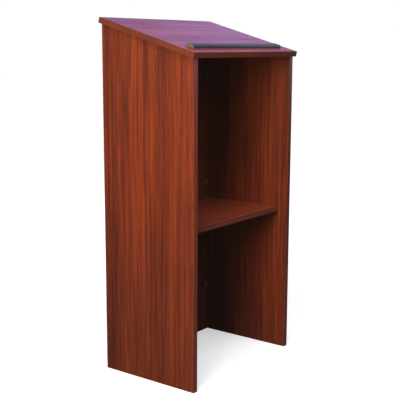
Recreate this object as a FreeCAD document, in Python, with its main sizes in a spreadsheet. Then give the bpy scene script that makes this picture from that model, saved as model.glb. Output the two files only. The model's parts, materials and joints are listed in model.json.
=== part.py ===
import FreeCAD, Part
import math
import os
import re
import Sketcher

# Stand-up lectern of laminated boards, in millimetres.
# X runs across the lectern, Y from the speaker's open side to the audience, Z up.
# The origin is on the floor, at the centre of the lectern's overall box.

SIZES = [
    # carcase
    ("overall_height", 1168, "floor to the top's high edge"),
    ("reading_angle", 15.85, "slope of the top, in degrees"),
    ("body_width", 560, "over both side panels"),
    ("side_depth", 370, "side panel, front to rear"),
    ("board", 18, "thickness of every board"),
    ("edge_band", 1, "thickness of the edge bands"),
    ("shelf_height", 518, "floor to the shelf's upper face"),
    ("shelf_setback", 35, "shelf's front behind the side panels' front"),
    ("back_inset", 5, "back panel's outer face ahead of the side panels' rear"),
    ("top_side_overhang", 13, "top beyond each side panel"),
    ("top_front_overhang", 5, "top beyond the side panels' front, along the slope"),
    ("top_back_overhang", 3, "top beyond the side panels' rear, along the slope"),
    # book stop
    ("stop_length", 490, "book stop, end to end"),
    ("stop_depth", 30, "book stop, along the slope"),
    ("stop_height", 10, "book stop above the top"),
    ("stop_setback", 40, "book stop behind the top's low edge"),
    ("stop_foil", 0.5, "foil round the book stop"),
    ("stop_front_radius", 7, "rounding of the stop's front arris"),
    ("stop_rear_radius", 2, "rounding of the stop's rear arris"),
    ("stop_screw_pitch", 200, "between the book stop's screws"),
    # eccentric connectors
    ("bore_diameter", 20, "hole for a connector housing"),
    ("bore_breakout", 0.5, "that hole's rim beyond the joint face"),
    ("housing_clearance", 0.05, "radial, housing in its hole"),
    ("housing_wall", 2.4, "wall of the housing"),
    ("housing_floor", 1, "bottom of the housing"),
    ("cam_clearance", 0.05, "radial, cam in its housing"),
    ("cam_sink", 0.6, "cam below the board's face"),
    ("cam_end_gap", 0.1, "cam above the housing's floor"),
    ("cam_eccentricity", 0.5, "offset of the cam's hollow"),
    ("recess_span", 6.2, "arms of the cross recess, tip to tip"),
    ("recess_arm", 1.3, "width of a recess arm"),
    ("recess_depth", 2.4, "depth of the cross recess in a cam"),
    ("head_diameter", 6, "bolt head"),
    ("head_length", 3, "bolt head along the bolt"),
    ("head_gap", 0.2, "bolt head to the cam, on every side"),
    ("head_floor_gap", 0.5, "bolt head to the housing's floor"),
    ("head_slot_gap", 0.5, "bolt head to the housing's opening, on each side"),
    ("neck_diameter", 3.2, "bolt neck"),
    ("neck_gap", 0.3, "bolt neck to the cam's slot, on every side"),
    ("collar_diameter", 5.4, "bolt collar on the joint face"),
    ("collar_gap", 0.6, "bolt collar to the cam"),
    ("thread_diameter", 5, "bolt thread in its pilot hole"),
    ("thread_length", 11, "thread beyond the joint face"),
    ("drill_allowance", 1, "blind holes deeper than what they hold"),
    ("back_connector_low", 181, "lowest back connector above the floor"),
    ("back_connector_drop", 170, "highest back connector below the back panel's top"),
    ("shelf_connector_inset", 60, "shelf connectors from the shelf's front and rear"),
    ("top_connector_front", 90, "front top connector from the side panels' front, along the slope"),
    ("top_connector_rear", 105, "rear top connector from the side panels' rear, along the slope"),
    # dowels
    ("dowel_diameter", 8, "wooden dowel"),
    ("dowel_length", 30, "wooden dowel"),
    ("dowel_chamfer", 1, "bevel on a dowel's ends"),
    ("dowel_in_face", 12, "part of a dowel that sits in a board's face"),
    ("top_dowel_front", 40, "front top dowel from the side panels' front, along the slope"),
    ("top_dowel_rear", 40, "rear top dowel from the side panels' rear, along the slope"),
    # book stop screws
    ("screw_head_diameter", 7, "pan head"),
    ("screw_head_height", 2.4, "pan head"),
    ("screw_crown", 1.2, "rounded part of the pan head"),
    ("screw_diameter", 3.5, "shank"),
    ("screw_cover", 3, "book stop left above the screws' points"),
    ("screw_point", 3, "pointed end"),
    ("screw_recess_span", 4, "arms of the cross recess, tip to tip"),
    ("screw_recess_arm", 0.9, "width of a recess arm"),
    ("screw_recess_depth", 1.5, "depth of the cross recess"),
]

# Lengths and places that follow from the sheet. "along" is measured up the slope from the side
# panels' front, on the underside of the top.
DERIVED = {
    "back_height": "overall_height - board * cos(reading_angle) - top_back_overhang * sin(reading_angle)",
    "front_height": "back_height - side_depth * tan(reading_angle)",
    "slope_length": "side_depth / cos(reading_angle)",
    "inner_half": "body_width / 2 - board",
    "side_front": "((top_front_overhang - top_back_overhang) * cos(reading_angle)"
                  " + board * sin(reading_angle) - side_depth) / 2",
    "side_rear": "side_front + side_depth",
    "back_face": "side_rear - back_inset - board",
    "shelf_front": "side_front + shelf_setback",
    "shelf_underside": "shelf_height - board",
    "top_low_edge": "-top_front_overhang",
    "top_high_edge": "slope_length + top_back_overhang",
    "top_half": "body_width / 2 + top_side_overhang",
    "stop_front": "top_low_edge + stop_setback",
    "stop_rear": "stop_front + stop_depth",
    "back_top": "front_height + (back_face - side_front) * tan(reading_angle)",
    "back_high": "back_top - back_connector_drop",
    "back_middle": "(back_connector_low + back_high) / 2",
    "back_dowel_low": "(back_connector_low + back_middle) / 2",
    "back_dowel_high": "(back_middle + back_high) / 2",
    "back_middle_plane": "back_face + board / 2",
    "shelf_middle_plane": "shelf_height - board / 2",
    "shelf_bolt_front": "shelf_front + shelf_connector_inset",
    "shelf_bolt_rear": "back_face - shelf_connector_inset",
    "shelf_dowel": "(shelf_bolt_front + shelf_bolt_rear) / 2",
    "top_bolt_front": "top_connector_front",
    "top_bolt_rear": "slope_length - top_connector_rear",
    "top_peg_front": "top_dowel_front",
    "top_peg_rear": "slope_length - top_dowel_rear",
    "side_middle": "body_width / 2 - board / 2",
    "bolt_depth": "board / 2",
    "edge_distance": "bore_diameter / 2 - bore_breakout",
    "housing_diameter": "bore_diameter - 2 * housing_clearance",
    "housing_hollow": "bolt_depth + head_diameter / 2 + head_floor_gap",
    "housing_slot": "head_diameter + 2 * head_slot_gap",
    "bore_depth": "housing_hollow + housing_floor",
    "cam_diameter": "housing_diameter - 2 * housing_wall - 2 * cam_clearance",
    "cam_hollow_top": "bolt_depth - head_diameter / 2 - head_gap",
    "cam_hollow_radius": "sqrt(head_length ^ 2 + head_diameter ^ 2) / 2 + head_gap + cam_eccentricity",
    "neck_slot": "neck_diameter + 2 * neck_gap",
    "dowel_in_edge": "dowel_length - dowel_in_face",
    "screw_in_stop": "stop_height - screw_cover",
    "screw_length": "board + screw_in_stop",
}

TILT = "placement(vector(0; side_front; front_height); rotationx(reading_angle))"
SIDES = (("left", "-"), ("right", ""))

doc = FreeCAD.newDocument("lectern")
sheet = doc.addObject("Spreadsheet::Sheet", "Sizes")
nodes = []


def fill_sheet():
    for row, (alias, size, note) in enumerate(SIZES, start=1):
        sheet.set(f"A{row}", alias)
        sheet.set(f"B{row}", str(size))
        sheet.set(f"C{row}", note)
        sheet.setAlias(f"B{row}", alias)
    doc.recompute()


def expression(text):
    """Spell out the derived names, then point the sheet's names at the sheet."""
    aliases = {alias for alias, size, note in SIZES}

    def spell(match):
        word = match.group(0)
        if word in DERIVED:
            return "(" + expression(DERIVED[word]) + ")"
        return "Sizes." + word if word in aliases else word

    return re.sub(r"[a-z][a-z_]*", spell, text)


def number(text):
    found = sheet.evalExpression(expression(text))
    return float(getattr(found, "Value", found))


def bind(item, path, text):
    item.setExpression(path, expression(text))


def new_node(kind, name):
    item = doc.addObject(kind, name)
    item.Label = name
    nodes.append(item)
    return item


def new_body(name, placement=None, is_node=True):
    body = new_node("PartDesign::Body", name) if is_node else doc.addObject("PartDesign::Body", name)
    if placement:
        bind(body, "Placement", placement)
    return body


def new_sketch(body, plane, offset=None):
    sketch = body.newObject("Sketcher::SketchObject", "Sketch")
    origin_plane = [item for item in body.Origin.OriginFeatures if item.Role == plane + "_Plane"][0]
    sketch.AttachmentSupport = [(origin_plane, "")]
    sketch.MapMode = "FlatFace"
    if offset:
        bind(sketch, "AttachmentOffset", offset)
    return sketch


def hold(sketch, kind, *references, size):
    """Add a driving dimension whose value follows the sheet."""
    index = sketch.addConstraint(Sketcher.Constraint(kind, *references, number(size)))
    bind(sketch, f"Constraints[{index}]", size)


def fix_point(sketch, geometry, end, x, y):
    hold(sketch, "DistanceX", -1, 1, geometry, end, size=x)
    hold(sketch, "DistanceY", -1, 1, geometry, end, size=y)


def draw_outline(sketch, corners):
    """Close a wire through the corners. A corner (x, y, radius) starts a clockwise arc to the next one."""
    spots = [FreeCAD.Vector(number(corner[0]), number(corner[1]), 0) for corner in corners]
    edges = []
    for index, corner in enumerate(corners):
        start = spots[index]
        end = spots[(index + 1) % len(corners)]
        if len(corner) == 2:
            edges.append((sketch.addGeometry(Part.LineSegment(start, end), False), 1, 2))
            continue
        radius = number(corner[2])
        chord = end - start
        right = FreeCAD.Vector(chord.y, -chord.x, 0).normalize()
        centre = (start + end) / 2 + right * math.sqrt(max(radius ** 2 - chord.Length ** 2 / 4, 0))
        from_end = math.atan2(end.y - centre.y, end.x - centre.x)
        to_start = math.atan2(start.y - centre.y, start.x - centre.x)
        circle = Part.Circle(centre, FreeCAD.Vector(0, 0, 1), radius)
        arc = sketch.addGeometry(Part.ArcOfCircle(circle, from_end, to_start), False)
        edges.append((arc, 2, 1))
    for index, corner in enumerate(corners):
        geometry, start, end = edges[index]
        following, next_start, next_end = edges[(index + 1) % len(corners)]
        sketch.addConstraint(Sketcher.Constraint("Coincident", geometry, end, following, next_start))
    for (geometry, start, end), corner in zip(edges, corners):
        fix_point(sketch, geometry, start, corner[0], corner[1])
        if len(corner) == 3:
            hold(sketch, "Radius", geometry, size=corner[2])


def draw_rectangle(sketch, left, right, low, high):
    draw_outline(sketch, [(left, low), (left, high), (right, high), (right, low)])


def draw_circles(sketch, centres, diameter):
    for x, y in centres:
        middle = FreeCAD.Vector(number(x), number(y), 0)
        circle = Part.Circle(middle, FreeCAD.Vector(0, 0, 1), number(diameter) / 2)
        geometry = sketch.addGeometry(circle, False)
        fix_point(sketch, geometry, 3, x, y)
        hold(sketch, "Diameter", geometry, size=diameter)


def draw_cross(sketch, span, arm):
    reach, half = f"{span} / 2", f"{arm} / 2"
    quarter = [(half, reach), (half, half), (reach, half)]
    corners = []
    for x_sign, y_sign, order in (("", "", 1), ("", "-", -1), ("-", "-", 1), ("-", "", -1)):
        corners += [(x_sign + x, y_sign + y) for x, y in quarter[::order]]
    draw_outline(sketch, corners)


def extrude(body, kind, sketch, length, reverse=False, both_ways=False):
    feature = body.newObject("PartDesign::" + kind, kind)
    feature.Profile = sketch
    feature.Reversed = reverse
    if both_ways:
        feature.SideType = "Symmetric"
    bind(feature, "Length", length)
    sketch.Visibility = False
    return feature


def revolve(body, sketch, axis):
    feature = body.newObject("PartDesign::Revolution", "Revolution")
    feature.Profile = sketch
    feature.ReferenceAxis = (sketch, [axis])
    feature.Angle = 360


def drill(body, plane, centres, diameter, depth, reverse=False, offset=None):
    sketch = new_sketch(body, plane, offset)
    draw_circles(sketch, centres, diameter)
    extrude(body, "Pocket", sketch, depth, reverse)


def group(name, master, placements):
    """One node of equal pieces, each a link to the master body."""
    links = []
    for placement in placements:
        link = doc.addObject("App::Link", name + "_piece")
        link.LinkedObject = master
        link.LinkTransform = False
        bind(link, "Placement", placement)
        links.append(link)
    new_node("Part::Compound", name).Links = links


# ---- boards ----

def edge_at(along):
    """A place on the sloped edge, as y and z in the frame of the lectern."""
    return (f"side_front + {along} * cos(reading_angle)", f"front_height + {along} * sin(reading_angle)")


def below_edge(along):
    """The centre of a housing's hole under the sloped edge."""
    y, z = edge_at(along)
    return (f"{y} + edge_distance * sin(reading_angle)", f"{z} - edge_distance * cos(reading_angle)")


def height_at(y):
    return f"front_height + ({y} - side_front) * tan(reading_angle)"


def make_side_panel(side, sign):
    is_right = side == "right"
    body = new_body(f"{side}_side_panel", f"placement(vector({sign}inner_half; 0; 0); rotationx(0))")
    front, rear = "side_front + edge_band", "side_rear - edge_band"
    outline = new_sketch(body, "YZ")
    draw_outline(outline, [(front, "0"), (front, height_at(front)), (rear, height_at(rear)), (rear, "0")])
    extrude(body, "Pad", outline, "board", reverse=not is_right)

    bolts = [(y, "shelf_middle_plane") for y in ("shelf_bolt_front", "shelf_bolt_rear")]
    bolts += [("back_middle_plane", z) for z in ("back_connector_low", "back_middle", "back_high")]
    drill(body, "YZ", bolts, "thread_diameter", "thread_length + drill_allowance", is_right)
    dowels = [("back_middle_plane", "back_dowel_low"), ("back_middle_plane", "back_dowel_high")]
    dowels += [("shelf_dowel", "shelf_middle_plane")]
    drill(body, "YZ", dowels, "dowel_diameter", "dowel_in_face + drill_allowance", is_right)
    housings = [below_edge("top_bolt_front"), below_edge("top_bolt_rear")]
    drill(body, "YZ", housings, "bore_diameter", "bore_depth", is_right)

    pegs = [(f"{sign}board / 2", along) for along in ("top_peg_front", "top_peg_rear")]
    drill(body, "XY", pegs, "dowel_diameter", "dowel_in_edge + drill_allowance", offset=TILT)


def make_back_panel():
    body = new_body("back_panel", "placement(vector(0; back_face; 0); rotationx(0))")
    section = new_sketch(body, "YZ")
    draw_outline(section, [("0", "0"), ("0", height_at("back_face")),
                           ("board", height_at("(back_face + board)")), ("board", "0")])
    extrude(body, "Pad", section, "2 * inner_half", both_ways=True)
    centres = []
    for side, sign in SIDES:
        x = f"{sign}(inner_half - edge_distance)"
        centres += [(x, z) for z in ("back_connector_low", "back_middle", "back_high")]
    drill(body, "XZ", centres, "bore_diameter", "bore_depth")
    for side, sign in SIDES:
        dowels = [("board / 2", z) for z in ("back_dowel_low", "back_dowel_high")]
        joint_face = f"placement(vector(0; 0; {sign}inner_half); rotationx(0))"
        drill(body, "YZ", dowels, "dowel_diameter", "dowel_in_edge + drill_allowance",
              side == "left", joint_face)


def make_shelf():
    body = new_body("shelf", "placement(vector(0; 0; shelf_underside); rotationx(0))")
    plan = new_sketch(body, "XY")
    draw_rectangle(plan, "-inner_half", "inner_half", "shelf_front + edge_band", "back_face")
    extrude(body, "Pad", plan, "board")
    centres = []
    for side, sign in SIDES:
        x = f"{sign}(inner_half - edge_distance)"
        centres += [(x, y) for y in ("shelf_bolt_front", "shelf_bolt_rear")]
    drill(body, "XY", centres, "bore_diameter", "bore_depth", reverse=True)
    for side, sign in SIDES:
        joint_face = f"placement(vector(0; 0; {sign}inner_half); rotationx(0))"
        drill(body, "YZ", [("shelf_dowel", "board / 2")], "dowel_diameter",
              "dowel_in_edge + drill_allowance", side == "left", joint_face)


def make_top_panel():
    body = new_body("top_panel", TILT)
    plan = new_sketch(body, "XY")
    draw_rectangle(plan, "-(top_half - edge_band)", "top_half - edge_band",
                   "top_low_edge + edge_band", "top_high_edge - edge_band")
    extrude(body, "Pad", plan, "board")
    bolts, pegs = [], []
    for side, sign in SIDES:
        bolts += [(f"{sign}side_middle", along) for along in ("top_bolt_front", "top_bolt_rear")]
        pegs += [(f"{sign}side_middle", along) for along in ("top_peg_front", "top_peg_rear")]
    drill(body, "XY", bolts, "thread_diameter", "thread_length + drill_allowance", reverse=True)
    drill(body, "XY", pegs, "dowel_diameter", "dowel_in_face + drill_allowance", reverse=True)
    drill(body, "XY", stop_screw_places(), "screw_diameter", "board", reverse=True)


# ---- edge bands ----

def make_side_bands(side, sign):
    """Strips on the front and rear edges, cut to the slope at their upper ends."""
    outer_face = "-body_width / 2" if side == "left" else "inner_half"
    strips = []
    for low, high in (("side_front", "(side_front + edge_band)"), ("(side_rear - edge_band)", "side_rear")):
        strip = doc.addObject("Part::Wedge", f"{side}_side_band")
        for name in ("Xmin", "X2min", "Zmin", "Z2min"):
            setattr(strip, name, 0)
        for name in ("Xmax", "X2max"):
            bind(strip, name, "board")
        bind(strip, "Ymin", low)
        bind(strip, "Ymax", high)
        bind(strip, "Zmax", height_at(low))
        bind(strip, "Z2max", height_at(high))
        bind(strip, "Placement.Base.x", outer_face)
        strips.append(strip)
    new_node("Part::Compound", f"{side}_side_edge_bands").Links = strips


def make_strip(item, corner, span):
    """A straight band: its low corner and its size, each as x, y and z."""
    for axis, place in zip("xyz", corner):
        bind(item, "Placement.Base." + axis, place)
    for name, size in zip(("Length", "Width", "Height"), span):
        bind(item, name, size)
    return item


def make_shelf_band():
    band = new_node("Part::Box", "shelf_edge_band")
    make_strip(band, ("-inner_half", "shelf_front", "shelf_underside"),
               ("2 * inner_half", "edge_band", "board"))


def make_top_bands():
    """Long strips on the low and high edges, short ones between them."""
    strips = []
    for along in ("top_low_edge", "top_high_edge - edge_band"):
        strip = doc.addObject("Part::Box", "top_band")
        strips.append(make_strip(strip, ("-top_half", along, "0"), ("2 * top_half", "edge_band", "board")))
    for across in ("-top_half", "top_half - edge_band"):
        strip = doc.addObject("Part::Box", "top_band")
        strips.append(make_strip(strip, (across, "top_low_edge + edge_band", "0"),
                                 ("edge_band", "top_high_edge - top_low_edge - 2 * edge_band", "board")))
    bands = new_node("Part::Compound", "top_edge_bands")
    bands.Links = strips
    bind(bands, "Placement", TILT)


# ---- book stop ----

def stop_path(inset):
    """The stop's front, top and rear, from the front's foot to the rear's foot, set in by the inset."""
    crest = f"board + stop_height - {inset}"
    front_shoulder = "board + stop_height - stop_front_radius"
    rear_shoulder = "board + stop_height - stop_rear_radius"
    return [
        (f"stop_front + {inset}", "board"),
        (f"stop_front + {inset}", front_shoulder, f"stop_front_radius - {inset}"),
        ("stop_front + stop_front_radius", crest),
        ("stop_rear - stop_rear_radius", crest, f"stop_rear_radius - {inset}"),
        (f"stop_rear - {inset}", rear_shoulder),
        (f"stop_rear - {inset}", "board"),
    ]


def stop_screw_places():
    return [(f"{step} * stop_screw_pitch", "(stop_front + stop_rear) / 2") for step in (-1, 0, 1)]


def make_book_stop():
    body = new_body("book_stop", TILT)
    section = new_sketch(body, "YZ")
    draw_outline(section, stop_path("stop_foil"))
    extrude(body, "Pad", section, "stop_length", both_ways=True)
    underside = "placement(vector(0; 0; board); rotationx(0))"
    drill(body, "XY", stop_screw_places(), "screw_diameter", "screw_in_stop", True, underside)


def make_stop_foil():
    """The stop's own outline less its core: a skin open at the foot and at both ends."""
    body = new_body("book_stop_foil", TILT)
    outside = new_sketch(body, "YZ")
    draw_outline(outside, stop_path("0"))
    extrude(body, "Pad", outside, "stop_length", both_ways=True)
    inside = new_sketch(body, "YZ")
    draw_outline(inside, stop_path("stop_foil"))
    extrude(body, "Pocket", inside, "stop_length", both_ways=True)


def stop_screw():
    """Pan head under the board, shank upwards from the origin."""
    body = new_body("screw_master", is_node=False)
    half_head, half_shank = "screw_head_diameter / 2", "screw_diameter / 2"
    section = new_sketch(body, "XZ")
    draw_outline(section, [
        ("0", "-screw_head_height"), ("0", "screw_length"),
        (half_shank, "screw_length - screw_point"), (half_shank, "0"), (half_head, "0"),
        (half_head, "screw_crown - screw_head_height", "screw_crown"),
        (f"{half_head} - screw_crown", "-screw_head_height"),
    ])
    revolve(body, section, "V_Axis")
    face = "placement(vector(0; 0; -screw_head_height); rotationx(0))"
    recess = new_sketch(body, "XY", face)
    draw_cross(recess, "screw_recess_span", "screw_recess_arm")
    extrude(body, "Pocket", recess, "screw_recess_depth", reverse=True)
    return body


# ---- connectors ----
# In a connector's own frame the origin is the housing's centre on the board's face, Z points out of
# the board and X runs along the bolt towards the board that the bolt is screwed into.

def level(depth):
    return f"placement(vector(0; 0; -({depth})); rotationx(0))"


def make_housing():
    """An open cup, flat at the joint face, whose wall is cut away where the bolt comes in."""
    body = new_body("housing_master", is_node=False)
    rim = new_sketch(body, "XY")
    draw_circles(rim, [("0", "0")], "housing_diameter")
    extrude(body, "Pad", rim, "bore_depth", reverse=True)
    drill(body, "XY", [("0", "0")], "cam_diameter + 2 * cam_clearance", "housing_hollow")
    mouth = new_sketch(body, "XY")
    draw_rectangle(mouth, "0", "bore_diameter", "-housing_slot / 2", "housing_slot / 2")
    extrude(body, "Pocket", mouth, "housing_hollow")
    flat = new_sketch(body, "XY")
    draw_rectangle(flat, "edge_distance - housing_clearance", "bore_diameter",
                   "-bore_diameter", "bore_diameter")
    extrude(body, "Pocket", flat, "bore_depth")
    return body


def make_cam(name, placement):
    """A hollow disc, locked at rest: a slot round half of it lets the bolt's neck pass as it turns."""
    body = new_body(name, placement)
    disc = new_sketch(body, "XY", level("cam_sink"))
    draw_circles(disc, [("0", "0")], "cam_diameter")
    extrude(body, "Pad", disc, "housing_hollow - cam_sink - cam_end_gap", reverse=True)
    drill(body, "XY", [("-cam_eccentricity", "0")], "2 * cam_hollow_radius", "bore_depth",
          offset=level("cam_hollow_top"))
    slot = new_sketch(body, "XY", level("bolt_depth - neck_slot / 2"))
    draw_rectangle(slot, "-cam_diameter", "cam_diameter", "-cam_diameter", "neck_slot / 2")
    extrude(body, "Pocket", slot, "neck_slot")
    door = new_sketch(body, "XY", level("cam_hollow_top"))
    half_door = "(head_diameter / 2 + head_gap)"
    draw_rectangle(door, "-cam_diameter", "-cam_eccentricity", f"-{half_door}", half_door)
    extrude(body, "Pocket", door, "bore_depth")
    recess = new_sketch(body, "XY", level("cam_sink"))
    draw_cross(recess, "recess_span", "recess_arm")
    extrude(body, "Pocket", recess, "recess_depth")


def make_bolt():
    """Head at the housing's centre, neck, collar on the joint face, and thread beyond it."""
    body = new_body("bolt_master", is_node=False)
    section = new_sketch(body, "XY", level("bolt_depth"))
    head_end, head_neck = "-head_length / 2", "head_length / 2"
    collar_start = "cam_diameter / 2 + collar_gap"
    tip = "edge_distance + thread_length"
    draw_outline(section, [
        (head_end, "0"), (head_end, "head_diameter / 2"), (head_neck, "head_diameter / 2"),
        (head_neck, "neck_diameter / 2"), (collar_start, "neck_diameter / 2"),
        (collar_start, "collar_diameter / 2"), ("edge_distance", "collar_diameter / 2"),
        ("edge_distance", "thread_diameter / 2"), (tip, "thread_diameter / 2"), (tip, "0"),
    ])
    revolve(body, section, "H_Axis")
    return body


def connector_places():
    """Every connector: its joint, its own name and its frame."""
    turns = {
        ("back", "left"): "rotation(vector(0; 1; -1); 180)",
        ("back", "right"): "rotation(vector(1; 0; 0); 90)",
        ("shelf", "left"): "rotation(vector(0; 1; 0); 180)",
        ("shelf", "right"): "rotation(vector(1; 0; 0); 180)",
        ("top", "left"): "rotationx(reading_angle) * rotation(vector(1; 0; 1); 180)",
        ("top", "right"): "rotationx(reading_angle) * rotation(vector(0; 1; 0); -90)",
    }
    places = []
    for side, sign in SIDES:
        x = f"{sign}(inner_half - edge_distance)"
        for name, z in (("low", "back_connector_low"), ("middle", "back_middle"), ("high", "back_high")):
            places.append(("back", side, name, (x, "back_face", z)))
        for name, y in (("front", "shelf_bolt_front"), ("rear", "shelf_bolt_rear")):
            places.append(("shelf", side, name, (x, y, "shelf_underside")))
        for name, along in (("front", "top_bolt_front"), ("rear", "top_bolt_rear")):
            places.append(("top", side, name, (f"{sign}inner_half", *below_edge(along))))
    return [(joint, f"cam_{joint}_{side}_{name}",
             "placement(vector({}; {}; {}); {})".format(*spot, turns[joint, side]))
            for joint, side, name, spot in places]


def make_connectors():
    places = connector_places()
    housing, bolt = make_housing(), make_bolt()
    for joint in ("back", "shelf", "top"):
        chosen = [placement for owner, name, placement in places if owner == joint]
        group(f"{joint}_connector_housings", housing, chosen)
        group(f"{joint}_connecting_bolts", bolt, chosen)
    for joint, name, placement in places:
        make_cam(name, placement)


# ---- dowels ----

def make_dowel():
    """A round peg from the origin along X."""
    body = new_body("dowel_master", is_node=False)
    section = new_sketch(body, "XY")
    radius = "dowel_diameter / 2"
    draw_outline(section, [
        ("0", "0"), ("0", f"{radius} - dowel_chamfer"), ("dowel_chamfer", radius),
        ("dowel_length - dowel_chamfer", radius), ("dowel_length", f"{radius} - dowel_chamfer"),
        ("dowel_length", "0"),
    ])
    revolve(body, section, "H_Axis")
    return body


def make_dowels():
    """Each peg starts in a board's edge and ends in the other board's face."""
    dowel = make_dowel()
    back, shelf, top = [], [], []
    for side, sign in SIDES:
        start = f"{sign}(inner_half - dowel_in_edge)"
        outwards = "rotation(vector(0; 0; 1); 180)" if side == "left" else "rotationx(0)"
        for z in ("back_dowel_low", "back_dowel_high"):
            back.append(f"placement(vector({start}; back_middle_plane; {z}); {outwards})")
        shelf.append(f"placement(vector({start}; shelf_dowel; shelf_middle_plane); {outwards})")
        upwards = "rotation(vector(0; 1; 0); -90)"
        for along in ("top_peg_front", "top_peg_rear"):
            start_point = f"vector({sign}side_middle; {along}; -dowel_in_edge)"
            top.append(f"{TILT} * placement({start_point}; {upwards})")
    group("back_dowels", dowel, back)
    group("shelf_dowels", dowel, shelf)
    group("top_dowels", dowel, top)


# ---- checks and files ----

def check_model():
    for item in doc.Objects:
        if "Invalid" in item.State or "Error" in item.State:
            raise ValueError(f"{item.Name} did not compute")
        if item.TypeId == "PartDesign::Pocket" and item.Shape.Volume >= item.BaseFeature.Shape.Volume:
            raise ValueError(f"{item.Name} cuts nothing")
        if item.TypeId == "Sketcher::SketchObject" and not item.FullyConstrained:
            raise ValueError(f"{item.Name} is not fully constrained")
    for node in nodes:
        if node.Shape.isNull() or not node.Shape.isValid():
            raise ValueError(f"{node.Label} has no valid shape")


def write_parts():
    os.makedirs("parts", exist_ok=True)
    for node in nodes:
        node.Shape.exportStep(f"parts/{node.Label}.step")


fill_sheet()
for side, sign in SIDES:
    make_side_panel(side, sign)
    make_side_bands(side, sign)
make_back_panel()
make_shelf()
make_shelf_band()
make_top_panel()
make_top_bands()
make_book_stop()
make_stop_foil()
group("book_stop_screws", stop_screw(),
      [f"{TILT} * placement(vector({x}; {along}; 0); rotationx(0))" for x, along in stop_screw_places()])
make_connectors()
make_dowels()
doc.recompute()
check_model()
write_parts()
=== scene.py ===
import json
import math

import bmesh
import bpy
from mathutils import Matrix, Vector

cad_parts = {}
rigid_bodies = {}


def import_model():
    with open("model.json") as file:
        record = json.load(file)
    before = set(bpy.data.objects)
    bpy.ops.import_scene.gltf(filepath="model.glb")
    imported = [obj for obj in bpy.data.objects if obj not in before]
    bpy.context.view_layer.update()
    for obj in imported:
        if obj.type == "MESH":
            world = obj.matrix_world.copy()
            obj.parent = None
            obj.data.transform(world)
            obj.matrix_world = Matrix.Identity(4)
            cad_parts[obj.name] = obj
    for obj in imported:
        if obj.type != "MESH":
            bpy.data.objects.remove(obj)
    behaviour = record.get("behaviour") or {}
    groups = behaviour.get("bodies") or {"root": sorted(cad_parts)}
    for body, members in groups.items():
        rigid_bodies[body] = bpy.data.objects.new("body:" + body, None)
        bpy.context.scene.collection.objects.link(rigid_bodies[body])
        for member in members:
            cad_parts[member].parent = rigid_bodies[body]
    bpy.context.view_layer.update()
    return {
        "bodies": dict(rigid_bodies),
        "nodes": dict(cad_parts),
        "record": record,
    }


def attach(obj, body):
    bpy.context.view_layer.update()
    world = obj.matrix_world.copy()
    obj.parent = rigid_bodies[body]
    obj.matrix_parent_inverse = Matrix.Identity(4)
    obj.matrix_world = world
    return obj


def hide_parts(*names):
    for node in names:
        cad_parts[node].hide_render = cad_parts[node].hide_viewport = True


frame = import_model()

# A stand-up lectern of mahogany laminate, in metres. X runs across it, Y to the audience, Z up.

SCENE = bpy.context.scene
RECORD = frame["record"]
MOUNTS = {mount["name"]: mount for mount in RECORD["mounts"]}
TOP_NORMAL = Vector(MOUNTS["reading_surface"]["axis"])
READING_ANGLE = math.atan2(-TOP_NORMAL.y, TOP_NORMAL.z)
CAMS = sorted(name for name in frame["bodies"] if name.startswith("cam_"))
JOINT_OF = {joint["child"]: joint for joint in RECORD["behaviour"]["joints"]}


# ---------------------------------------------------------------- materials

SURFACE_IOR = 1.5


class Shader:
    """A material with one Principled shader, and short calls that add nodes to it."""

    def __init__(self, name, roughness, metallic=0.0):
        self.material = bpy.data.materials.new(name)
        self.material.use_nodes = True
        self.tree = self.material.node_tree
        self.surface = self.tree.nodes["Principled BSDF"]
        self.surface.inputs["Metallic"].default_value = metallic
        self.surface.inputs["Roughness"].default_value = roughness
        self.surface.inputs["IOR"].default_value = SURFACE_IOR
        self.coordinates = self.tree.nodes.new("ShaderNodeTexCoord")
        self.place = self.coordinates.outputs["Object"]

    def node(self, kind, inputs=(), **settings):
        made = self.tree.nodes.new("ShaderNode" + kind)
        for name, value in settings.items():
            setattr(made, name, value)
        for key, value in dict(inputs).items():
            self.feed(made.inputs[key], value)
        return made

    def feed(self, socket, value):
        if isinstance(value, bpy.types.NodeSocket):
            self.tree.links.new(value, socket)
        else:
            socket.default_value = value

    def maths(self, operation, first, second=0.0):
        return self.node("Math", {0: first, 1: second}, operation=operation).outputs[0]

    def stretch(self, place, scale):
        return self.node("VectorMath", {0: place, 1: scale}, operation="MULTIPLY").outputs[0]

    def shift(self, place, offset):
        return self.node("VectorMath", {0: place, 1: offset}, operation="ADD").outputs[0]

    def noise(self, place, scale, detail, roughness=0.5):
        made = self.node("TexNoise", {"Vector": place, "Scale": scale, "Detail": detail,
                                      "Roughness": roughness})
        return made.outputs["Fac"]

    def spread(self, value, low, high, new_low=0.0, new_high=1.0):
        made = self.node("MapRange", {"Value": value, "From Min": low, "From Max": high,
                                      "To Min": new_low, "To Max": new_high})
        return made.outputs["Result"]

    def ramp(self, value, *stops):
        made = self.node("ValToRGB", {"Fac": value})
        band = made.color_ramp
        while len(band.elements) < len(stops):
            band.elements.new(0.5)
        for element, (position, colour) in zip(band.elements, stops):
            element.position = position
            element.color = (*colour, 1.0)
        return made.outputs["Color"]

    def mix(self, factor, first, second):
        made = self.node("Mix", data_type="RGBA")
        sockets = [socket for socket in made.inputs if socket.enabled]
        for socket, value in zip(sockets, (factor, first, second)):
            self.feed(socket, value)
        return next(socket for socket in made.outputs if socket.enabled)

    def bump(self, height, strength, distance):
        made = self.node("Bump", {"Height": height, "Strength": strength, "Distance": distance})
        self.feed(self.surface.inputs["Normal"], made.outputs["Normal"])

    def colour(self, value):
        self.feed(self.surface.inputs["Base Color"], value)

    def roughness(self, value):
        self.feed(self.surface.inputs["Roughness"], value)


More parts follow.
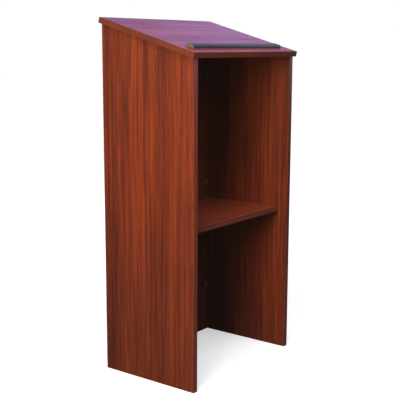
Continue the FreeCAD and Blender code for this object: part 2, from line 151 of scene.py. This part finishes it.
# Colours are linear RGB. The grain's ramp runs from dark to light about the middle of its figure.
PORE = (0.045, 0.009, 0.006)
DARK_GRAIN = (0.105, 0.0155, 0.0065)
MID_GRAIN = (0.215, 0.0320, 0.0095)
LIGHT_GRAIN = (0.345, 0.0560, 0.0145)
GRAIN_STOPS = ((0.42, DARK_GRAIN), (0.50, MID_GRAIN), (0.58, LIGHT_GRAIN))
# Layers of the figure, from broad zones to flecks: how little each changes along the grain for its
# change across it, its scale, detail and roughness, and its weight.
GRAIN_LAYERS = (
    (0.060, 19.0, 2.0, 0.5, 0.22),
    (0.020, 112.0, 3.0, 0.6, 0.36),
    (0.014, 420.0, 3.0, 0.6, 0.30),
    (0.090, 700.0, 2.0, 0.5, 0.12),
)
SEED_STEP = (1.7, 2.3, 3.1)
WANDER_SHARE = 0.30
WANDER_WIDTH = 0.020
PORE_SHARE = 0.090
PORE_STRENGTH = 0.6


def grain(shader, along, seed):
    """Mahogany print: broad figure, streaks and fine lines along one axis, and short dark pores."""
    axis = "XYZ".index(along)

    def drawn_out(place, share):
        factors = [1.0, 1.0, 1.0]
        factors[axis] = share
        return shader.stretch(place, factors)

    place = shader.shift(shader.place, [seed * step for step in SEED_STEP])
    wander = shader.noise(drawn_out(place, WANDER_SHARE), scale=4.0, detail=2.0)
    wander = shader.maths("MULTIPLY", shader.maths("SUBTRACT", wander, 0.5), WANDER_WIDTH)
    sideways = shader.node("CombineXYZ", {key: wander for key in range(3) if key != axis}).outputs[0]
    place = shader.shift(place, sideways)
    figure = 0.0
    for share, scale, detail, roughness, weight in GRAIN_LAYERS:
        layer = shader.noise(drawn_out(place, share), scale, detail, roughness)
        figure = shader.maths("ADD", figure, shader.maths("MULTIPLY", layer, weight))
    pore = shader.noise(drawn_out(place, PORE_SHARE), scale=1700.0, detail=1.0)
    dashes = shader.maths("MULTIPLY", shader.spread(pore, low=0.58, high=0.70), PORE_STRENGTH)
    colour = shader.ramp(figure, *GRAIN_STOPS)
    return shader.mix(dashes, colour, (*PORE, 1.0)), figure, dashes


def chipboard(shader):
    """Pressed wood chips, as on a sawn edge."""
    cells = shader.node("TexVoronoi", {"Vector": shader.place, "Scale": 520.0}).outputs["Color"]
    tint = shader.node("SeparateColor", {"Color": cells}).outputs[0]
    chips = ((0.0, (0.20, 0.12, 0.065)), (0.5, (0.42, 0.29, 0.17)), (1.0, (0.60, 0.46, 0.30)))
    return shader.ramp(tint, *chips)


# A surface of a board counts as its face while its normal is within about 45 degrees of the board's.
FACE_COSINE = 0.7
CUT_EDGE_ROUGHER = 0.5
BUMP_DEPTH = 0.0001


def laminate(name, along, face_normal, seed):
    """Laminate on the board's two faces and chipboard on its sawn edges and in its holes."""
    shader = Shader(name, roughness=0.36)
    print_colour, figure, dashes = grain(shader, along, seed)
    facing = shader.node("VectorMath", {0: shader.coordinates.outputs["Normal"], 1: face_normal},
                         operation="DOT_PRODUCT").outputs["Value"]
    is_face = shader.maths("GREATER_THAN", shader.maths("ABSOLUTE", facing), FACE_COSINE)
    shader.colour(shader.mix(is_face, chipboard(shader), print_colour))
    sheen = shader.spread(figure, low=0.40, high=0.60, new_low=0.42, new_high=0.33)
    rub = shader.noise(shader.place, scale=9.0, detail=4.0)
    rub = shader.spread(rub, low=0.35, high=0.65, new_low=-0.01, new_high=0.02)
    sheen = shader.maths("ADD", sheen, rub)
    is_edge = shader.maths("SUBTRACT", 1.0, is_face)
    rougher = shader.maths("MULTIPLY", is_edge, CUT_EDGE_ROUGHER)
    shader.roughness(shader.maths("ADD", sheen, rougher))
    relief = shader.maths("SUBTRACT", shader.maths("MULTIPLY", figure, 0.5), dashes)
    shader.bump(relief, strength=0.25, distance=BUMP_DEPTH)
    return shader.material


def edge_plastic(name, along, seed):
    """PVC edge band, printed a little darker and plainer than the laminate."""
    shader = Shader(name, roughness=0.34)
    plain = (0.165, 0.045, 0.024, 1.0)
    print_colour, figure = grain(shader, along, seed)[:2]
    shader.colour(shader.mix(0.55, print_colour, plain))
    shader.roughness(shader.spread(figure, low=0.35, high=0.65, new_low=0.38, new_high=0.30))
    shader.bump(shader.noise(shader.place, scale=600.0, detail=2.0), strength=0.08, distance=BUMP_DEPTH)
    return shader.material


def black_foil():
    """Dark embossed foil, drawn out along X."""
    shader = Shader("black_foil", roughness=0.40)
    drawn_out = shader.stretch(shader.place, (0.05, 1.0, 1.0))
    emboss = shader.noise(drawn_out, scale=1400.0, detail=2.0)
    cloud = shader.noise(shader.place, scale=18.0, detail=3.0)
    shader.colour(shader.ramp(cloud, (0.3, (0.022, 0.021, 0.024)), (0.7, (0.034, 0.032, 0.036))))
    shader.roughness(shader.spread(emboss, low=0.3, high=0.7, new_low=0.34, new_high=0.46))
    shader.bump(emboss, strength=0.25, distance=BUMP_DEPTH)
    return shader.material


def fibreboard():
    """Pressed fibres, as on the book stop's sawn ends."""
    shader = Shader("fibreboard", roughness=0.85)
    fibres = shader.noise(shader.place, scale=2200.0, detail=4.0, roughness=0.7)
    cloud = shader.noise(shader.place, scale=160.0, detail=2.0)
    fine = shader.maths("MULTIPLY", fibres, 0.6)
    coarse = shader.maths("MULTIPLY", cloud, 0.4)
    blend = shader.maths("ADD", fine, coarse)
    shader.colour(shader.ramp(blend, (0.35, (0.100, 0.062, 0.040)), (0.65, (0.210, 0.145, 0.095))))
    shader.bump(fibres, strength=0.6, distance=2 * BUMP_DEPTH)
    return shader.material


def beech():
    """Pale flecked wood of the dowels."""
    shader = Shader("beech", roughness=0.6)
    fleck = shader.noise(shader.place, scale=900.0, detail=3.0)
    shader.colour(shader.ramp(fleck, (0.35, (0.42, 0.27, 0.15)), (0.65, (0.62, 0.44, 0.27))))
    shader.bump(fleck, strength=0.3, distance=BUMP_DEPTH)
    return shader.material


def metal(name, dark, light, rough_low, rough_high):
    """Cast or rolled metal with a faint cloudy surface."""
    shader = Shader(name, rough_low, metallic=1.0)
    cloud = shader.noise(shader.place, scale=240.0, detail=4.0, roughness=0.6)
    pit = shader.noise(shader.place, scale=2600.0, detail=2.0)
    shader.colour(shader.ramp(cloud, (0.3, dark), (0.7, light)))
    shader.roughness(shader.spread(cloud, low=0.3, high=0.7, new_low=rough_low, new_high=rough_high))
    shader.bump(pit, strength=0.18, distance=BUMP_DEPTH)
    return shader.material


# Edge band thickness and the rounding of each kind of arris.
BAND = 0.001
BAND_ARRIS = 0.0004
CAST_ARRIS = 0.0002
TURNED_ARRIS = 0.00015
CRISP_ARRIS = 0.0001
ARRIS_STEPS = 3
SHARP_TURN = math.radians(35)
FLAT_TURN = math.radians(0.5)
WELD = 1e-6
# The arrow on a cam: its middle from the cam's axis, its tip and rear corners about that middle
# (ahead, beside), and its foot and crest as height above the face and share of the full size.
ARROW_CENTRE = 0.00466
ARROW_CORNERS = ((0.00174, 0.0), (-0.00096, 0.0018), (-0.00096, -0.0018))
ARROW_LEVELS = ((-0.00005, 1.0), (0.00015, 0.69))
BOARDS = {
    "left_side_panel": laminate("laminate_left", "Z", (1.0, 0.0, 0.0), seed=15),
    "right_side_panel": laminate("laminate_right", "Z", (1.0, 0.0, 0.0), seed=35),
    "back_panel": laminate("laminate_back", "Z", (0.0, 1.0, 0.0), seed=3),
    "shelf": laminate("laminate_shelf", "X", (0.0, 0.0, 1.0), seed=14),
    "top_panel": laminate("laminate_top", "X", tuple(TOP_NORMAL), seed=5),
}
BAND_UPRIGHT = edge_plastic("edge_band_upright", "Z", seed=6)
BAND_ACROSS = edge_plastic("edge_band_across", "X", seed=7)
BAND_SLOPE = edge_plastic("edge_band_slope", "Y", seed=8)
FOIL = black_foil()
FIBREBOARD = fibreboard()
BEECH = beech()
ZINC = metal("zinc", (0.62, 0.61, 0.59), (0.80, 0.79, 0.76), rough_low=0.34, rough_high=0.52)
STEEL = metal("steel", (0.42, 0.41, 0.38), (0.60, 0.58, 0.54), rough_low=0.28, rough_high=0.40)


# ---------------------------------------------------------------- pieces

def dress(node, material):
    """Give a CAD node its finish."""
    for holder in frame["nodes"][node].material_slots:
        holder.link = "OBJECT"
        holder.material = material


def keep(mesh, node, body, materials, rounding):
    """Make a piece of the mesh, with rounded arrises, which stands for the CAD node."""
    piece = bpy.data.objects.new("fine_" + node, mesh)
    SCENE.collection.objects.link(piece)
    mesh.materials.clear()
    for material in materials:
        mesh.materials.append(material)
    mesh.shade_smooth()
    mesh.set_sharp_from_angle(angle=SHARP_TURN)
    bevel = piece.modifiers.new("arris", "BEVEL")
    bevel.width = rounding
    bevel.segments = ARRIS_STEPS
    bevel.limit_method = "ANGLE"
    bevel.angle_limit = SHARP_TURN
    bevel.harden_normals = True
    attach(piece, body)
    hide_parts(node)


def raise_arrow(edit, cam):
    """A cast arrow on the cam's face, which points at the bolt when the cam is turned to release it."""
    outward = Vector(JOINT_OF[cam]["axis"])
    hub = Vector(JOINT_OF[cam]["pos_m"])
    face = max(corner.co.dot(outward) for corner in edit.verts)
    hub += outward * (face - hub.dot(outward))
    to_bolt = TOP_NORMAL if "_top_" in cam else Vector((math.copysign(1.0, hub.x), 0.0, 0.0))
    ahead = -to_bolt.normalized()
    beside = outward.cross(ahead)
    rings = []
    for height, share in ARROW_LEVELS:
        middle = hub + ahead * ARROW_CENTRE + outward * height
        rings.append([edit.verts.new(middle + (ahead * along + beside * across) * share)
                      for along, across in ARROW_CORNERS])
    low, high = rings
    edit.faces.new(reversed(low))
    edit.faces.new(high)
    for one in range(len(low)):
        other = (one + 1) % len(low)
        edit.faces.new((low[one], low[other], high[other], high[one]))


def finer(node, body, material, rounding):
    """A welded copy of a CAD node, with its flat faces whole again and an arrow if it is a cam."""
    mesh = frame["nodes"][node].data.copy()
    edit = bmesh.new()
    edit.from_mesh(mesh)
    bmesh.ops.remove_doubles(edit, verts=edit.verts, dist=WELD)
    bmesh.ops.dissolve_limit(edit, angle_limit=FLAT_TURN, verts=edit.verts, edges=edit.edges)
    if node in CAMS:
        raise_arrow(edit, node)
    edit.to_mesh(mesh)
    edit.free()
    keep(mesh, node, body, [material], rounding)


def make_top_bands():
    """Four strips round the sloping top: the low and high edges run through, the sides fit between."""
    tilt = Matrix.Rotation(READING_ANGLE, 4, "X")
    flat = [tilt.inverted() @ vertex.co for vertex in frame["nodes"]["top_edge_bands"].data.vertices]
    low = Vector([min(point[axis] for point in flat) for axis in range(3)])
    high = Vector([max(point[axis] for point in flat) for axis in range(3)])
    strips = []
    for first, last in ((low.y, low.y + BAND), (high.y - BAND, high.y)):
        strips.append(((low.x, first, low.z), (high.x, last, high.z), 0))
    for first, last in ((low.x, low.x + BAND), (high.x - BAND, high.x)):
        strips.append(((first, low.y + BAND, low.z), (last, high.y - BAND, high.z), 1))
    edit = bmesh.new()
    for near, far, finish in strips:
        centre = (Vector(near) + Vector(far)) / 2
        span = Vector(far) - Vector(near)
        place = tilt @ Matrix.Translation(centre) @ Matrix.Diagonal((*span, 1.0))
        corners = bmesh.ops.create_cube(edit, size=1.0, matrix=place)["verts"]
        for face in {face for corner in corners for face in corner.link_faces}:
            face.material_index = finish
    mesh = bpy.data.meshes.new("top_bands")
    edit.to_mesh(mesh)
    edit.free()
    keep(mesh, "top_edge_bands", "root", [BAND_ACROSS, BAND_SLOPE], BAND_ARRIS)


for node, material in BOARDS.items():
    dress(node, material)
for node in ("back_dowels", "shelf_dowels", "top_dowels"):
    finer(node, "root", BEECH, CAST_ARRIS)
for node in ("left_side_edge_bands", "right_side_edge_bands"):
    finer(node, "root", BAND_UPRIGHT, BAND_ARRIS)
finer("shelf_edge_band", "root", BAND_ACROSS, BAND_ARRIS)
make_top_bands()
finer("book_stop", "root", FIBREBOARD, CRISP_ARRIS)
finer("book_stop_foil", "root", FOIL, CRISP_ARRIS)
finer("book_stop_screws", "root", STEEL, TURNED_ARRIS)
for joint in ("back", "shelf", "top"):
    finer(joint + "_connector_housings", "root", ZINC, CAST_ARRIS)
    finer(joint + "_connecting_bolts", "root", STEEL, TURNED_ARRIS)
for cam in CAMS:
    finer(cam, cam, ZINC, CAST_ARRIS)


# ---------------------------------------------------------------- floor, light and camera

FLOOR_SPAN = 40.0
FLOOR_GAP = 0.0003
FLOOR_CELLS = 8
FLOOR_SEEN = (0.86, 0.86, 0.86, 1.0)
FLOOR_THROWN_BACK = (0.12, 0.12, 0.12, 1.0)
FLOOR_GLOW = {"low": 0.8, "high": 3.0, "new_low": 0.50, "new_high": 1.0}
WHITE = (1.0, 1.0, 1.0, 1.0)
ROOM = (0.85, 0.92, 1.0, 1.0)
ROOM_STRENGTH = 0.012
WARM = (1.0, 0.93, 0.84)
NEUTRAL = (0.85, 0.90, 1.0)
LAVENDER = (0.55, 0.42, 1.0)
# name, azimuth from +X and elevation in degrees, distance and width in metres, watts, colour, and
# the height that it is aimed at and measured from
LIGHTS = (
    ("key_near", 197, 9, 1.7, 0.7, 18.0, WARM, 0.95),
    ("key_low", 197, 6, 3.0, 1.0, 12.0, WARM, 0.8),
    ("key_high", 204, 50, 3.0, 1.0, 28.0, WARM, 0.8),
    ("corner_high", 220, 48, 1.7, 0.7, 4.0, NEUTRAL, 0.9),
    ("front_low", 262, 26, 3.0, 1.2, 4.0, NEUTRAL, 0.8),
    ("front_high", 274, 45, 3.0, 1.2, 9.0, NEUTRAL, 0.8),
    ("front_near", 282, 55, 1.9, 0.8, 14.5, NEUTRAL, 1.0),
    ("edge_tint", 321, 3, 2.2, 0.8, 2.6, LAVENDER, 1.2),
    ("side_fill", 350, 20, 1.9, 1.0, 6.7, NEUTRAL, 0.8),
    ("back_fill", 95, 20, 3.0, 1.8, 44.0, WARM, 0.7),
    ("sheen_low", 35, 12, 3.0, 1.4, 6.2, LAVENDER, 1.1),
    ("sheen_high", 35, 26, 3.0, 1.4, 4.8, LAVENDER, 1.1),
    ("sheen_side", 20, 16, 3.0, 1.4, 2.2, LAVENDER, 1.1),
)
# A faint veil over the whole picture, as a lens adds, which keeps black from being quite black.
LENS_FLARE = (0.0036, 0.0036, 0.0028)


def from_camera(tree):
    """1 for what the camera sees directly and 0 for what lights the object."""
    return tree.nodes.new("ShaderNodeLightPath").outputs["Is Camera Ray"]


def make_floor():
    """A plain pale floor: nearly white from above, clear from below, and dim in what it throws back."""
    edit = bmesh.new()
    bmesh.ops.create_grid(edit, x_segments=FLOOR_CELLS, y_segments=FLOOR_CELLS, size=FLOOR_SPAN / 2)
    mesh = bpy.data.meshes.new("floor")
    edit.to_mesh(mesh)
    edit.free()
    floor = bpy.data.objects.new("floor", mesh)
    floor.location.z = -FLOOR_GAP
    SCENE.collection.objects.link(floor)
    shader = Shader("pale_floor", roughness=0.9)
    away = shader.node("VectorMath", {0: shader.place}, operation="LENGTH").outputs["Value"]
    glow = shader.spread(away, **FLOOR_GLOW)
    bright = shader.node("BsdfDiffuse", {"Color": FLOOR_SEEN}).outputs[0]
    lit = shader.node("Emission", {"Color": WHITE, "Strength": glow}).outputs[0]
    seen = shader.node("AddShader", {0: bright, 1: lit}).outputs[0]
    dim = shader.node("BsdfDiffuse", {"Color": FLOOR_THROWN_BACK}).outputs[0]
    choice = shader.node("MixShader", {0: from_camera(shader.tree), 1: dim, 2: seen}).outputs[0]
    under = shader.node("NewGeometry").outputs["Backfacing"]
    clear = shader.node("BsdfTransparent").outputs[0]
    choice = shader.node("MixShader", {0: under, 1: choice, 2: clear}).outputs[0]
    shader.feed(shader.tree.nodes["Material Output"].inputs["Surface"], choice)
    mesh.materials.append(shader.material)


def area_light(name, azimuth, elevation, distance, width, power, colour, height):
    """A soft square light that faces the lectern's middle axis at the given height."""
    light = bpy.data.lights.new(name, "AREA")
    light.shape = "SQUARE"
    light.size = width
    light.energy = power
    light.color = colour
    aim = Vector((0.0, 0.0, height))
    turn = Matrix.Rotation(math.radians(azimuth), 3, "Z")
    rise = Matrix.Rotation(-math.radians(elevation), 3, "Y")
    away = turn @ rise @ Vector((distance, 0.0, 0.0))
    holder = bpy.data.objects.new(name, light)
    holder.location = aim + away
    holder.rotation_euler = (-away).to_track_quat("-Z", "Y").to_euler()
    holder.visible_camera = False
    SCENE.collection.objects.link(holder)


def make_world():
    """White behind the object, and a dim room light for everything else."""
    world = bpy.data.worlds.new("studio")
    SCENE.world = world
    world.use_nodes = True
    tree = world.node_tree
    room = tree.nodes["Background"]
    room.inputs["Color"].default_value = ROOM
    room.inputs["Strength"].default_value = ROOM_STRENGTH
    white = tree.nodes.new("ShaderNodeBackground")
    white.inputs["Color"].default_value = WHITE
    white.inputs["Strength"].default_value = 1.0
    choice = tree.nodes.new("ShaderNodeMixShader")
    tree.links.new(from_camera(tree), choice.inputs[0])
    tree.links.new(room.outputs[0], choice.inputs[1])
    tree.links.new(white.outputs[0], choice.inputs[2])
    tree.links.new(choice.outputs[0], tree.nodes["World Output"].inputs["Surface"])


CAMERA_SPOT = (-2.3173, -1.7359, 1.0805)
CAMERA_HEADING = -53.06
CAMERA_PITCH = -10.19
CAMERA_ROLL = 0.18
CAMERA_LENS = 77.43
CAMERA_SENSOR = 36.0


def make_camera():
    """The photo's viewpoint: place in metres, angles in degrees, lens and sensor in millimetres."""
    camera = bpy.data.objects.new("camera", bpy.data.cameras.new("camera"))
    camera.data.lens = CAMERA_LENS
    camera.data.sensor_width = CAMERA_SENSOR
    turn = (Matrix.Rotation(math.radians(CAMERA_HEADING), 4, "Z")
            @ Matrix.Rotation(math.radians(90 + CAMERA_PITCH), 4, "X")
            @ Matrix.Rotation(math.radians(CAMERA_ROLL), 4, "Z"))
    camera.matrix_world = Matrix.Translation(CAMERA_SPOT) @ turn
    SCENE.collection.objects.link(camera)
    SCENE.camera = camera


make_floor()
make_world()
make_camera()
for light in LIGHTS:
    area_light(*light)
SCENE.view_settings.view_transform = "Standard"
SCENE.view_settings.use_curve_mapping = True
SCENE.view_settings.curve_mapping.black_level = [-share for share in LENS_FLARE]
